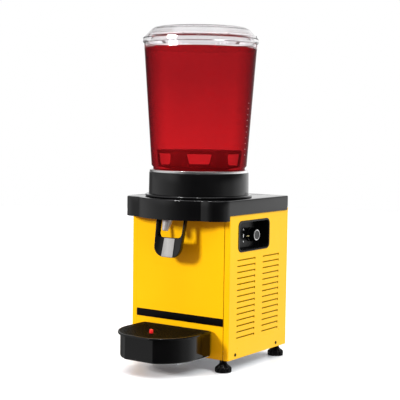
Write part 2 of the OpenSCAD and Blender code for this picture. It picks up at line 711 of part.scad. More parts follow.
module panel_screws() color(black) {
  for (s = [0, 1], y = [FY + 27, FY + 190]) mirror([s, 0, 0]) translate([hw, y, 35]) screw();
  for (x = [-95, 95]) translate([x, RY, 38]) rotate([0, 0, 90]) screw();
}

// ---- feet ----

module foot(i) translate([foot_xy[i][0], foot_xy[i][1], 0]) union() {
  difference() {
    rotate_extrude() polygon([[0, 0], [foot_r - 1.5, 0], [foot_r, 1.5], [foot_r, 9], [foot_r - 1.5, 10.5], [9.4, 16], [7.8, 19], [7.8, body_z0 - 0.3], [0, body_z0 - 0.3]]);
    for (k = [0:17]) rotate([0, 0, k * 20]) translate([foot_r + 1.2, 0, 2]) cylinder(h = 10, r = 1.9);
  }
  disc(body_z0 - 1, body_z0 + 14, 4.9);
}

module front_left_foot() color(black) foot(0);
module front_right_foot() color(black) foot(1);
module rear_left_foot() color(black) foot(2);
module rear_right_foot() color(black) foot(3);

base_pan();
left_panel();
right_panel();
front_panel();
rear_panel();
top_plate();
top_cover();
name_strip();
collar();
collar_ring();
evaporator_dish();
evaporator_coil();
insulation_ring();
impeller_spindle();
bowl_gasket();
tap_bracket();
lever_pins();
tap_body();
tap_cap();
tap_spout();
outlet_pipe();
tap_spring();
tray_bracket();
control_bezel();
selector_switch();
mixer_motor();
compressor();
compressor_mounts();
condenser_fins();
condenser_coil();
fan_shroud();
fan_motor();
filter_drier();
suction_line();
discharge_line();
capillary_line();
cable_gland();
panel_screws();
bowl();
bowl_lid();
mixer_guard();
impeller();
motor_shaft();
drive_rotor();
fan_blade();
tap_lever();
lever_insert();
tap_plunger();
plunger_seal();
control_knob();
knob_cap();
selector_shaft();
drip_tray();
drip_grid();
tray_float();
front_left_foot();
front_right_foot();
rear_left_foot();
rear_right_foot();
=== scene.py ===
import math

import bmesh
import bpy
from mathutils import Matrix, Vector


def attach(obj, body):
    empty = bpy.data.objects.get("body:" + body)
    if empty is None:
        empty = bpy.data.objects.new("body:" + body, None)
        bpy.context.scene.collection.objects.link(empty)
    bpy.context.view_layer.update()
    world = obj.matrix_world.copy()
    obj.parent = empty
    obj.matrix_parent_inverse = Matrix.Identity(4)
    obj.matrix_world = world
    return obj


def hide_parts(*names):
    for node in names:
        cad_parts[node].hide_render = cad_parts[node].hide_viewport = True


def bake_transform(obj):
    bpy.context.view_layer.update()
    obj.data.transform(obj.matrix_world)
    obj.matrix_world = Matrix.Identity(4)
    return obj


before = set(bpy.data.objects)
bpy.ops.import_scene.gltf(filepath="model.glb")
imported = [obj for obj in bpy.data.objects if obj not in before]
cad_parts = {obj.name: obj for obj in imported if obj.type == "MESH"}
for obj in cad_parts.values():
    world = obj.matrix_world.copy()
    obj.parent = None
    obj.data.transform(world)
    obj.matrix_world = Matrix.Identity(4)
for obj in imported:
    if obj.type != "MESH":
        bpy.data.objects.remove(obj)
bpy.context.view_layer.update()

# Sizes are in millimetres in the row frame; meshes are written in metres.
MM = 0.001
FY, RY, BY = -46.9, 187.1, 20.1  # front panel, rear panel, axis of the bowl
HW = 125.0
TAU = 2 * math.pi
GUARD_R, GUARD_Z = 88.0, 454.4  # mixer guard: top radius and height
WIN = (20.8, 27.2, 422.5, 447.3)  # its windows: half widths at the bottom and top, heights
HERE = Matrix.Identity(4)
BOWL = Matrix.Translation((0, BY, 0))
TAP = Matrix.Translation((0, FY - 42.8, 312)) @ Matrix.Rotation(math.radians(-13.5), 4, "X")
ALONG_X = Matrix(((0, 0, 1, 0), (1, 0, 0, 0), (0, 1, 0, 0), (0, 0, 0, 1)))  # (u, v, w) -> (w, u, v)


# ------------------------------------------------------------------ shapes

def arc(cx, cy, r, a0, a1, n):
    return [(cx + r * math.cos(math.radians(a0 + (a1 - a0) * k / n)),
             cy + r * math.sin(math.radians(a0 + (a1 - a0) * k / n))) for k in range(n + 1)]


def rounded(pts, n=5):
    """Corners given as (x, y, radius) become arcs."""
    out = []
    m = len(pts)
    for i, p in enumerate(pts):
        b = Vector(p[:2])
        r = p[2] if len(p) > 2 else 0
        if not r:
            out.append((b.x, b.y))
            continue
        u, v = Vector(pts[i - 1][:2]) - b, Vector(pts[(i + 1) % m][:2]) - b
        lu, lv = u.length, v.length
        u, v = u / lu, v / lv
        half = math.acos(max(-1, min(1, u.dot(v)))) / 2
        t = min(r / math.tan(half), 0.48 * lu, 0.48 * lv)
        rr = t * math.tan(half)
        c = b + (u + v).normalized() * (rr / math.sin(half))
        s, e = b + u * t - c, b + v * t - c
        a0 = math.atan2(s.y, s.x)
        d = (math.atan2(e.y, e.x) - a0 + math.pi) % TAU - math.pi
        out += [(c.x + rr * math.cos(a0 + d * k / n), c.y + rr * math.sin(a0 + d * k / n)) for k in range(n + 1)]
    return out


def inset(pts, d):
    """A counterclockwise outline moved inward by d."""
    out = []
    m = len(pts)
    for i, p in enumerate(pts):
        p = Vector(p)
        a, b = (p - Vector(pts[i - 1])).normalized(), (Vector(pts[(i + 1) % m]) - p).normalized()
        na, nb = Vector((-a.y, a.x)), Vector((-b.y, b.x))
        q = p + d * (na + nb) / max(0.2, 1 + na.dot(nb))
        out.append((q.x, q.y))
    return out


def rrect(w, h, r, cx=0, cy=0, n=8):
    x, y = w / 2 - r, h / 2 - r
    return (arc(cx + x, cy - y, r, -90, 0, n) + arc(cx + x, cy + y, r, 0, 90, n)
            + arc(cx - x, cy + y, r, 90, 180, n) + arc(cx - x, cy - y, r, 180, 270, n))


def ring(bm, pts, z, place=HERE):
    return [bm.verts.new(place @ Vector((x, y, z))) for x, y in pts]


def face(bm, vs):
    if len(set(vs)) > 2:
        bm.faces.new(vs)


def join(bm, a, b):
    """Faces between two rings, either of which may be a single point."""
    if len(a) == 1 and len(b) == 1:
        return
    n = max(len(a), len(b))
    for k in range(n):
        j = (k + 1) % n
        if len(a) == 1:
            face(bm, [a[0], b[j], b[k]])
        elif len(b) == 1:
            face(bm, [a[k], a[j], b[0]])
        else:
            face(bm, [a[k], a[j], b[j], b[k]])


def loft(bm, rings, closed=False, caps=True):
    for a, b in zip(rings, rings[1:]):
        join(bm, a, b)
    if closed:
        join(bm, rings[-1], rings[0])
    elif caps:
        for r in (rings[0], rings[-1]):
            if len(r) > 1:
                face(bm, r)


def lathe(bm, prof, seg=96, place=HERE, ripple=None):
    """A closed profile of (radius, height) turned about the local Z axis."""
    rings = []
    for r, z in prof:
        if r < 1e-4:
            rings.append([bm.verts.new(place @ Vector((0, 0, z)))])
        else:
            pts = []
            for k in range(seg):
                a = TAU * k / seg
                q = ripple(r, z, a) if ripple else r
                pts.append((q * math.cos(a), q * math.sin(a)))
            rings.append(ring(bm, pts, z, place))
    loft(bm, rings, closed=True)


def edge_levels(z0, z1, r0, r1, n=4):
    """(inset, height) steps of a slab with rounded lower and upper edges."""
    lo = [(r0 * (1 - math.sin(math.pi / 2 * k / n)), z0 + r0 * (1 - math.cos(math.pi / 2 * k / n))) for k in range(n + 1)] if r0 else [(0, z0)]
    hi = [(r1 * (1 - math.cos(math.pi / 2 * k / n)), z1 - r1 * (1 - math.sin(math.pi / 2 * k / n))) for k in range(n + 1)] if r1 else [(0, z1)]
    return lo + hi


def slab(bm, pts, z0, z1, r0=0.0, r1=0.0, place=HERE, n=4):
    loft(bm, [ring(bm, inset(pts, d) if d > 1e-6 else pts, z, place) for d, z in edge_levels(z0, z1, r0, r1, n)])


def fill_between(bm, outer, inner):
    """A flat face between two closed rings that needn't have the same number of points."""
    edges = set()
    for r in (outer, inner):
        for k in range(len(r)):
            e = bm.edges.get((r[k], r[(k + 1) % len(r)])) or bm.edges.new((r[k], r[(k + 1) % len(r)]))
            edges.add(e)
    bmesh.ops.triangle_fill(bm, use_beauty=True, use_dissolve=False, edges=list(edges))


def piece(name, bm, body, mat, replaces=(), sharp=35):
    bmesh.ops.remove_doubles(bm, verts=bm.verts, dist=2e-4)
    bmesh.ops.recalc_face_normals(bm, faces=bm.faces)
    bmesh.ops.scale(bm, vec=(MM, MM, MM), verts=bm.verts)
    me = bpy.data.meshes.new(name)
    bm.to_mesh(me)
    bm.free()
    me.shade_smooth()
    me.set_sharp_from_angle(angle=math.radians(sharp))
    me.materials.append(mat)
    ob = bpy.data.objects.new(name, me)
    bpy.context.scene.collection.objects.link(ob)
    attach(ob, body)
    if replaces:
        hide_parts(*replaces)
    return ob


# ------------------------------------------------------------------ materials

def base(name):
    mat = bpy.data.materials.new(name)
    mat.use_nodes = True
    return mat, mat.node_tree, mat.node_tree.nodes["Principled BSDF"]


def noise(nt, scale, detail=3.0, rough=0.5, stretch=(1, 1, 1), distort=0.0):
    co = nt.nodes.new("ShaderNodeTexCoord")
    mp = nt.nodes.new("ShaderNodeMapping")
    mp.inputs["Scale"].default_value = stretch
    tx = nt.nodes.new("ShaderNodeTexNoise")
    tx.inputs["Scale"].default_value = scale
    tx.inputs["Detail"].default_value = detail
    tx.inputs["Roughness"].default_value = rough
    tx.inputs["Distortion"].default_value = distort
    nt.links.new(co.outputs["Object"], mp.inputs["Vector"])
    nt.links.new(mp.outputs["Vector"], tx.inputs["Vector"])
    return tx.outputs["Fac"]


def ramp(nt, fac, stops):
    r = nt.nodes.new("ShaderNodeValToRGB")
    els = r.color_ramp.elements
    while len(els) > len(stops):
        els.remove(els[-1])
    while len(els) < len(stops):
        els.new(0.5)
    for el, (pos, col) in zip(els, stops):
        el.position = pos
        el.color = (*col, 1)
    nt.links.new(fac, r.inputs["Fac"])
    return r.outputs["Color"]


def spread(nt, fac, lo, hi):
    m = nt.nodes.new("ShaderNodeMapRange")
    m.inputs["From Min"].default_value = 0.25
    m.inputs["From Max"].default_value = 0.75
    m.inputs["To Min"].default_value = lo
    m.inputs["To Max"].default_value = hi
    nt.links.new(fac, m.inputs["Value"])
    return m.outputs["Result"]


def bump(nt, p, height, strength, distance):
    b = nt.nodes.new("ShaderNodeBump")
    b.inputs["Strength"].default_value = strength
    b.inputs["Distance"].default_value = distance
    nt.links.new(height, b.inputs["Height"])
    nt.links.new(b.outputs["Normal"], p.inputs["Normal"])


def finish_of(name, dark, light, tone_scale, rough, rough_scale, bump_scale=0.0, bump_strength=0.0, bump_depth=0.0002,
              metallic=0.0, coat=0.0, coat_rough=0.1, specular=0.5, ior=1.5, stretch=(1, 1, 1), bump_stretch=None, detail=3.0, tint=(1, 1, 1)):
    """A coloured finish with uneven tone, uneven gloss and a fine relief."""
    mat, nt, p = base(name)
    nt.links.new(ramp(nt, noise(nt, tone_scale, detail, stretch=stretch), [(0.3, dark), (0.7, light)]), p.inputs["Base Color"])
    nt.links.new(spread(nt, noise(nt, rough_scale, 4.0, stretch=stretch), *rough), p.inputs["Roughness"])
    if bump_strength:
        bump(nt, p, noise(nt, bump_scale, 2.0, stretch=bump_stretch or stretch), bump_strength, bump_depth)
    p.inputs["Metallic"].default_value = metallic
    p.inputs["Coat Weight"].default_value = coat
    p.inputs["Coat Roughness"].default_value = coat_rough
    p.inputs["Specular IOR Level"].default_value = specular
    p.inputs["IOR"].default_value = ior
    p.inputs["Specular Tint"].default_value = (*tint, 1)
    return mat


M = {}
M["yellow_paint"] = finish_of("yellow_paint", (0.865, 0.465, 0.0030), (0.89, 0.488, 0.0040), 9, (0.27, 0.36), 60, 750, 0.10, 0.00012, specular=0.45, tint=(1.0, 0.72, 0.10))


def painted_crevice_shade(mat, reach, dark):
    """Painted shade: the base colour is darkened in narrow gaps and at the roots of pressed edges, where little light
    reaches.
    """
    nt = mat.node_tree
    p = nt.nodes["Principled BSDF"]
    ao = nt.nodes.new("ShaderNodeAmbientOcclusion")
    ao.samples = 8
    ao.inputs["Distance"].default_value = reach
    mul = nt.nodes.new("ShaderNodeMix")
    mul.data_type = "RGBA"
    mul.blend_type = "MULTIPLY"
    mul.inputs[0].default_value = 1.0
    nt.links.new(p.inputs["Base Color"].links[0].from_socket, mul.inputs[6])
    nt.links.new(ramp(nt, ao.outputs["AO"], [(0.30, dark), (0.78, (1, 1, 1))]), mul.inputs[7])
    nt.links.new(mul.outputs[2], p.inputs["Base Color"])


# painted shade in the seams and louvre slits of the yellow paint
painted_crevice_shade(M["yellow_paint"], 0.006, (0.16, 0.15, 0.2))
M["black_gloss"] = finish_of("black_gloss", (0.0006, 0.0006, 0.0008), (0.0014, 0.0014, 0.0017), 30, (0.07, 0.13), 45, 900, 0.03, 0.00008, specular=0.46)
M["black_film"] = finish_of("black_film", (0.0010, 0.0009, 0.0009), (0.0022, 0.0020, 0.0020), 35, (0.30, 0.42), 70, 1100, 0.05, 0.00008, specular=0.08)
M["black_tray"] = finish_of("black_tray", (0.0006, 0.0006, 0.0007), (0.0014, 0.0014, 0.0015), 40, (0.07, 0.13), 80, 1600, 0.03, 0.0001, specular=0.36)
M["black_matte"] = finish_of("black_matte", (0.002, 0.002, 0.0022), (0.004, 0.004, 0.0043), 50, (0.42, 0.56), 120, 1500, 0.16, 0.00012, specular=0.18)
M["rubber"] = finish_of("rubber", (0.0008, 0.0008, 0.0009), (0.002, 0.002, 0.0021), 70, (0.20, 0.32), 160, 1300, 0.12, 0.00015, specular=0.16)
M["stainless"] = finish_of("stainless", (0.62, 0.61, 0.60), (0.72, 0.71, 0.70), 140, (0.16, 0.26), 220, 900, 0.05, 0.00005, metallic=1.0, stretch=(1, 1, 14))
M["rim_steel"] = finish_of("rim_steel", (0.80, 0.79, 0.79), (0.90, 0.89, 0.89), 140, (0.14, 0.22), 220, 900, 0.05, 0.00005, metallic=1.0, stretch=(1, 1, 14))
M["chrome"] = finish_of("chrome", (0.70, 0.69, 0.69), (0.78, 0.77, 0.77), 30, (0.05, 0.12), 90, 600, 0.02, 0.00005, metallic=1.0)
M["black_grid"] = finish_of("black_grid", (0.002, 0.0017, 0.0011), (0.004, 0.0034, 0.0021), 60, (0.48, 0.58), 130, 1500, 0.10, 0.00012, specular=0.02)
M["spout"] = finish_of("spout", (0.60, 0.59, 0.57), (0.68, 0.67, 0.65), 60, (0.28, 0.38), 120, 800, 0.03, 0.00005, metallic=0.7)
M["brushed"] = finish_of("brushed", (0.56, 0.545, 0.53), (0.66, 0.645, 0.63), 160, (0.10, 0.15), 240, 700, 0.06, 0.00005, metallic=1.0, stretch=(9, 1, 1))
M["zinc"] = finish_of("zinc", (0.42, 0.44, 0.46), (0.58, 0.60, 0.62), 70, (0.32, 0.5), 110, 400, 0.06, 0.0001, metallic=0.9, detail=1.0)
M["copper"] = finish_of("copper", (0.55, 0.22, 0.11), (0.78, 0.36, 0.20), 60, (0.22, 0.42), 120, 500, 0.05, 0.0001, metallic=1.0)
M["aluminium"] = finish_of("aluminium", (0.60, 0.61, 0.62), (0.74, 0.75, 0.76), 80, (0.28, 0.42), 150, 800, 0.05, 0.0001, metallic=1.0, stretch=(1, 6, 1))
M["foam"] = finish_of("foam", (0.72, 0.66, 0.48), (0.84, 0.79, 0.62), 120, (0.75, 0.95), 200, 700, 0.5, 0.0006)
M["silicone"] = finish_of("silicone", (0.62, 0.64, 0.64), (0.72, 0.74, 0.74), 60, (0.4, 0.55), 120, 800, 0.08, 0.0001)
M["black_paint"] = finish_of("black_paint", (0.010, 0.010, 0.011), (0.020, 0.020, 0.021), 25, (0.28, 0.45), 70, 500, 0.2, 0.0003)
M["red_plastic"] = finish_of("red_plastic", (0.55, 0.008, 0.010), (0.66, 0.014, 0.016), 90, (0.22, 0.34), 160, 900, 0.04, 0.0001)
M["grey_plastic"] = finish_of("grey_plastic", (0.16, 0.16, 0.17), (0.22, 0.22, 0.23), 60, (0.35, 0.5), 130, 1200, 0.12, 0.0001)
M["guard_plastic"] = finish_of("guard_plastic", (0.05, 0.045, 0.045), (0.075, 0.07, 0.07), 60, (0.35, 0.5), 130, 1200, 0.08, 0.0001)
M["white_print"] = finish_of("white_print", (0.74, 0.74, 0.73), (0.82, 0.82, 0.81), 300, (0.4, 0.55), 500, 1500, 0.06, 0.00005)
M["yellow_print"] = finish_of("yellow_print", (0.80, 0.68, 0.30), (0.88, 0.77, 0.40), 300, (0.4, 0.55), 500, 1500, 0.06, 0.00005)


def clear(name, tint, rough, ior, ripple, shine, wet=0.0):
    mat, nt, p = base(name)
    p.inputs["Base Color"].default_value = (*tint, 1)
    p.inputs["Transmission Weight"].default_value = 1.0
    p.inputs["IOR"].default_value = ior
    p.inputs["Specular Tint"].default_value = (shine, shine, shine, 1)
    nt.links.new(spread(nt, noise(nt, 35, 3.0), *rough), p.inputs["Roughness"])
    bump(nt, p, noise(nt, 14, 2.0, stretch=(1, 1, 0.3)), ripple, 0.0004)
    if wet:
        co = nt.nodes.new("ShaderNodeTexCoord")
        sp = nt.nodes.new("ShaderNodeSeparateXYZ")
        nt.links.new(co.outputs["Object"], sp.inputs["Vector"])
        a = nt.nodes.new("ShaderNodeMapRange")
        a.inputs["From Min"].default_value = wet - 0.002
        a.inputs["From Max"].default_value = wet + 0.001
        a.inputs["To Min"].default_value = 0.001
        nt.links.new(sp.outputs["Z"], a.inputs["Value"])
        nt.links.new(a.outputs["Result"], p.inputs["Alpha"])
    return mat


M["clear_plastic"] = clear("clear_plastic", (0.97, 0.96, 0.965), (0.0, 0.03), 1.30, 0.03, 1.0, 0.6674)
M["clear_lid"] = clear("clear_lid", (0.89, 0.88, 0.89), (0.0, 0.02), 1.45, 0.03, 1.0)


def drink_material():
    """Clear red drink, paler towards the bottom and darker towards the top."""
    mat, nt, p = base("red_drink")
    co = nt.nodes.new("ShaderNodeTexCoord")
    sp = nt.nodes.new("ShaderNodeSeparateXYZ")
    nt.links.new(co.outputs["Object"], sp.inputs["Vector"])
    h = nt.nodes.new("ShaderNodeMapRange")
    h.inputs["From Min"].default_value = 0.40
    h.inputs["From Max"].default_value = 0.67
    nt.links.new(sp.outputs["Z"], h.inputs["Value"])
    cloud = noise(nt, 13, 2.0, stretch=(1, 1, 0.14))
    add = nt.nodes.new("ShaderNodeMath")
    add.operation = "MULTIPLY_ADD"
    add.inputs[1].default_value = 0.38
    nt.links.new(cloud, add.inputs[0])
    nt.links.new(h.outputs["Result"], add.inputs[2])
    body = ramp(nt, add.outputs["Value"], [(0.1, (0.66, 0.0145, 0.019)), (1.0, (0.35, 0.0105, 0.0145))])
    # the glancing way through the drink is darker
    lw = nt.nodes.new("ShaderNodeLayerWeight")
    lw.inputs["Blend"].default_value = 0.5
    rim = ramp(nt, lw.outputs["Facing"], [(0.24, (1, 1, 1)), (0.42, (0.74, 0.78, 0.82)), (0.58, (0.44, 0.6, 0.7)), (0.74, (0.2, 0.5, 0.6))])
    deep = nt.nodes.new("ShaderNodeMix")
    deep.data_type = "RGBA"
    deep.blend_type = "MULTIPLY"
    deep.inputs[0].default_value = 1.0
    nt.links.new(body, deep.inputs[6])
    nt.links.new(rim, deep.inputs[7])
    nt.links.new(deep.outputs[2], p.inputs["Base Color"])
    p.inputs["Specular Tint"].default_value = (0.06, 0.02, 0.02, 1)
    p.inputs["Transmission Weight"].default_value = 0.85
    p.inputs["IOR"].default_value = 1.03
    nt.links.new(spread(nt, noise(nt, 25, 2.0), 0.0, 0.03), p.inputs["Roughness"])
    return mat


M["drink"] = drink_material()


# ------------------------------------------------------------------ cabinet top

def top_cover():
    """Moulded cover: flat top with rounded edges, round bulge over the tap, skirts of three heights."""
    bm = bmesh.new()
    w, y0, y1, rc, rf = 127.35, FY - 39.9, FY + 231.0, 5.0, 35.0
    cx = math.sqrt(133.5 ** 2 - (y0 - BY) ** 2)
    a1 = math.degrees(math.atan2(y0 - BY, cx))
    ystep, yrear = FY - 4.0, RY - 8.0
    out = [(cx, y0)] + arc(w - rf, y0 + rf, rf, -90, 0, 20) + [(w, ystep), (w, yrear)] + arc(w - rc, y1 - rc, rc, 0, 90, 8)
    out += [(w - rc - 60 * k, y1) for k in range(1, 4)] + arc(-w + rc, y1 - rc, rc, 90, 180, 8) + [(-w, yrear), (-w, ystep)]
    out += arc(-w + rf, y0 + rf, rf, 180, 270, 20) + [(-cx, y0)] + arc(0, BY, 133.5, -180 - a1, a1, 72)[1:-1]
    inner = inset(out, 2.1)
    n = len(out)
    top, under, mid = 355.3, 352.3, [331.3, 324.2, 313.6]
    rt = 2.6
    vs = {}

    def v(side, i, z):
        key = (side, i % n, z)
        if key not in vs:
            x, y = (out if side else inner)[i % n]
            vs[key] = bm.verts.new((x, y, z))
        return vs[key]

    def bottom(i):
        y = (out[i % n][1] + out[(i + 1) % n][1]) / 2
        return 2 if y < ystep else 0 if y > yrear else 1

    for i in range(n):
        for k in range(bottom(i)):
            zt, zb = mid[k], mid[k + 1]
            for s in (0, 1):
                face(bm, [v(s, i, zt), v(s, i, zb), v(s, i + 1, zb), v(s, i + 1, zt)])
        zb = mid[bottom(i)]
        face(bm, [v(1, i, zb), v(0, i, zb), v(0, i + 1, zb), v(1, i + 1, zb)])
        a, b = sorted((bottom(i - 1), bottom(i)))
        for k in range(a, b):
            face(bm, [v(1, i, mid[k]), v(1, i, mid[k + 1]), v(0, i, mid[k + 1]), v(0, i, mid[k])])
    outer = [[v(1, i, mid[0]) for i in range(n)]]
    for d, z in edge_levels(mid[0], top, 0, rt, 5)[1:]:
        outer.append(ring(bm, inset(out, d) if d > 1e-6 else out, z))
    loft(bm, outer, caps=False)
    low = [[v(0, i, mid[0]) for i in range(n)], ring(bm, inner, under - 1.5), ring(bm, inset(out, 3.6), under)]
    loft(bm, low, caps=False)
    hole = [(101 * math.cos(TAU * k / 120), BY + 101 * math.sin(TAU * k / 120)) for k in range(120)]
    ho, hu = ring(bm, hole, top), ring(bm, hole, under)
    join(bm, ho, hu)
    fill_between(bm, outer[-1], ho)
    fill_between(bm, low[-1], hu)
    return piece("cover_shell", bm, "cabinet", M["black_gloss"], ["top_cover"], 28)


def collar_parts():
    bm = bmesh.new()
    lathe(bm, rounded([(101.5, 355.3), (106.6, 355.3, 0.5), (106, 407.2, 1.0), (103, 407.2, 0.6), (103, 358.8), (101.5, 358.8)]), 144, BOWL)
    piece("collar_wall", bm, "cabinet", M["black_gloss"], ["collar"])
    bm = bmesh.new()
    prof = [(106.65, 355.3), (109.5, 355.3)] + arc(111.7, 357.95, 2.65, -90, 90, 14) + [(109.5, 360.6), (107.4, 360.5), (106.8, 360.2), (106.65, 359.6)]
    lathe(bm, prof, 144, BOWL)
    piece("collar_bead", bm, "cabinet", M["black_gloss"], ["collar_ring"])
    bm = bmesh.new()
    prof = rounded([(0, 396), (88, 396, 2), (88, 407.2, 1), (105, 407.2, 0.8), (105, 412.2, 0.7), (103.2, 412.2, 0.7), (103.2, 409.2, 0.6), (86.5, 409.2, 1.5), (86.5, 397.5, 2), (0, 397.5)])
    lathe(bm, prof, 144, BOWL)
    piece("chilled_dish", bm, "cabinet", M["rim_steel"], ["evaporator_dish"])


# ------------------------------------------------------------------ bowl, lid, drink

def bowl_ro(z):
    return 101.5 + 0.072 * (z - 419.4)


def bowl_parts():
    bm = bmesh.new()
    prof = rounded([(95, 412, 0.8), (102.6, 412, 0.8), (102.6, 418.4, 0.6), (101.5, 419.4, 0.6), (bowl_ro(678), 678, 1.0),
                    (bowl_ro(678) - 3, 678, 1.0), (bowl_ro(421) - 3, 421, 1.0), (95, 417.5, 1.0)], 4)
    lathe(bm, prof, 160, BOWL)
    piece("bowl_shell", bm, "bowl", M["clear_plastic"], ["bowl"])

    # moulded level pips, one above the other on the right-hand side
    bm = bmesh.new()
    az = math.radians(34.7 + 66)
    for k in range(10):
        z = 446 + 12.0 * k
        r = bowl_ro(z)
        c = Vector((r * math.sin(az), BY - r * math.cos(az), z))
        place = Matrix.Translation(c) @ Matrix.Rotation(az - math.pi / 2, 4, "Z") @ Matrix.Rotation(math.pi / 2, 4, "Y")
        lathe(bm, [(0, -0.6), (0.6, -0.6), (0.6, 0.1), (0.5, 0.3), (0.26, 0.42), (0, 0.46)], 12, place)
    piece("level_pips", bm, "bowl", M["silicone"])

    bm = bmesh.new()
    z = 678.3
    prof = rounded([(112.6, z - 7, 0.8), (115, z - 7, 0.8), (115, z, 0.8), (121, z, 0.8), (122.5, z + 3.2, 1.2), (122.5, z + 10.6, 1.0),
                    (121, z + 12.4, 0.8), (118.4, z + 13.2, 1.5), (105.2, z + 28.4, 3.0), (97.5, z + 32.8, 5.0), (0, z + 32.8), (0, z + 30.3),
                    (96.8, z + 30.3, 4.0), (103.6, z + 26.6, 2.5), (115.4, z + 12, 1.5), (112.6, z + 8.5, 1.0)], 4)
    lathe(bm, prof, 160, BOWL)
    for k in range(8):
        a = math.radians(45 * k + 17.6)
        place = Matrix.Translation((120.3 * math.cos(a), BY + 120.3 * math.sin(a), z + 12))
        lathe(bm, [(0, -0.6), (1.9, -0.6), (1.9, 1.8), (1.6, 2.7), (0.9, 3.2), (0, 3.3)], 16, place)
    piece("lid_shell", bm, "lid", M["clear_lid"], ["bowl_lid"])

    bm = bmesh.new()
    k = 2.7  # the wall acts as a lens and shows the drink right out to its skin
    top = 667.4
    ri = bowl_ro(top) - 3 + k
    prof = [(0, 397.7), (86.2, 397.7), (86.2, 409.5), (88.7, 409.5), (88.7, 412.3), (95 + k, 412.3), (95 + k, 417.3), (bowl_ro(421.2) - 3 + k, 421.2)]
    prof += [(bowl_ro(z) - 3 + k, z) for z in (470, 520, 570, 620, 660)]
    prof += [(ri + 0.05, top + 0.9), (ri - 0.6, top + 0.35), (ri - 1.6, top + 0.08), (ri - 4, top), (60, top), (0, top)]
    lathe(bm, prof, 160, BOWL)
    piece("drink", bm, "bowl", M["drink"], sharp=50)


def guard_cap():
    """Bell over the impeller with trapezium windows, their corners rounded."""
    bm = bmesh.new()
    r = GUARD_R
    prof = rounded([(56, 397.8), (59, 397.8, 0.4), (59, 414, 2.0), (r - 3.5, GUARD_Z - 35.0, 1.5), (r, GUARD_Z - 2.0, 1.0), (r - 1, GUARD_Z, 0.8), (12, GUARD_Z, 0.8),
                    (12, GUARD_Z - 3.2, 0.8), (r - 3.8, GUARD_Z - 3.2, 1.5), (r - 6.4, GUARD_Z - 32.2, 1.5), (56, 416.8, 2.0)], 4)
    lathe(bm, prof, 144, BOWL)
    cut = bmesh.new()
    turn = Matrix(((0, 0, 1, 0), (1, 0, 0, 0), (0, 1, 0, 0), (0, 0, 0, 1)))
    for k in range(6):
        place = BOWL @ Matrix.Rotation(math.radians(-55.4 + 60 * k), 4, "Z") @ turn
        slab(cut, rounded([(-WIN[0], WIN[2], 3.5), (WIN[0], WIN[2], 3.5), (WIN[1], WIN[3], 3.5), (-WIN[1], WIN[3], 3.5)], 5), 62.0, r + 6.0, 0, 0, place)
    made = []
    for name, b in (("guard_solid", bm), ("guard_cutter", cut)):
        bmesh.ops.remove_doubles(b, verts=b.verts, dist=2e-4)
        bmesh.ops.recalc_face_normals(b, faces=b.faces)
        me = bpy.data.meshes.new(name)
        b.to_mesh(me)
        b.free()
        ob = bpy.data.objects.new(name, me)
        bpy.context.scene.collection.objects.link(ob)
        made.append(ob)
    mod = made[0].modifiers.new("windows", "BOOLEAN")
    mod.operation, mod.solver, mod.object = "DIFFERENCE", "EXACT", made[1]
    bm = bmesh.new()
    bm.from_object(made[0], bpy.context.evaluated_depsgraph_get())
    for ob in made:
        me = ob.data
        bpy.data.objects.remove(ob)
        bpy.data.meshes.remove(me)
    piece("guard_cap", bm, "guard", M["guard_plastic"], ["mixer_guard"], 30)


# ------------------------------------------------------------------ tap

def lever_outline(h, h2, g, g2):
    """U of the paddle: outer half width h narrowing to h2, inner half width g narrowing to g2."""
    out = [(-h, 40), (-h, 10), (-h, -5), (-(h + h2) / 2, -28)] + arc(-h2 + 23, -53, 23, 184, 270, 16) + arc(h2 - 23, -53, 23, 270, 356, 16)
    out += [((h + h2) / 2, -28), (h, -5), (h, 10), (h, 40), (g, 40), (g, 10), (g, -5)]
    return out + arc(g2 - 9.5, -25.1, 9.5, 0, -90, 12) + arc(-g2 + 9.5, -25.1, 9.5, -90, -180, 12) + [(-g, -5), (-g, 10), (-g, 40)]


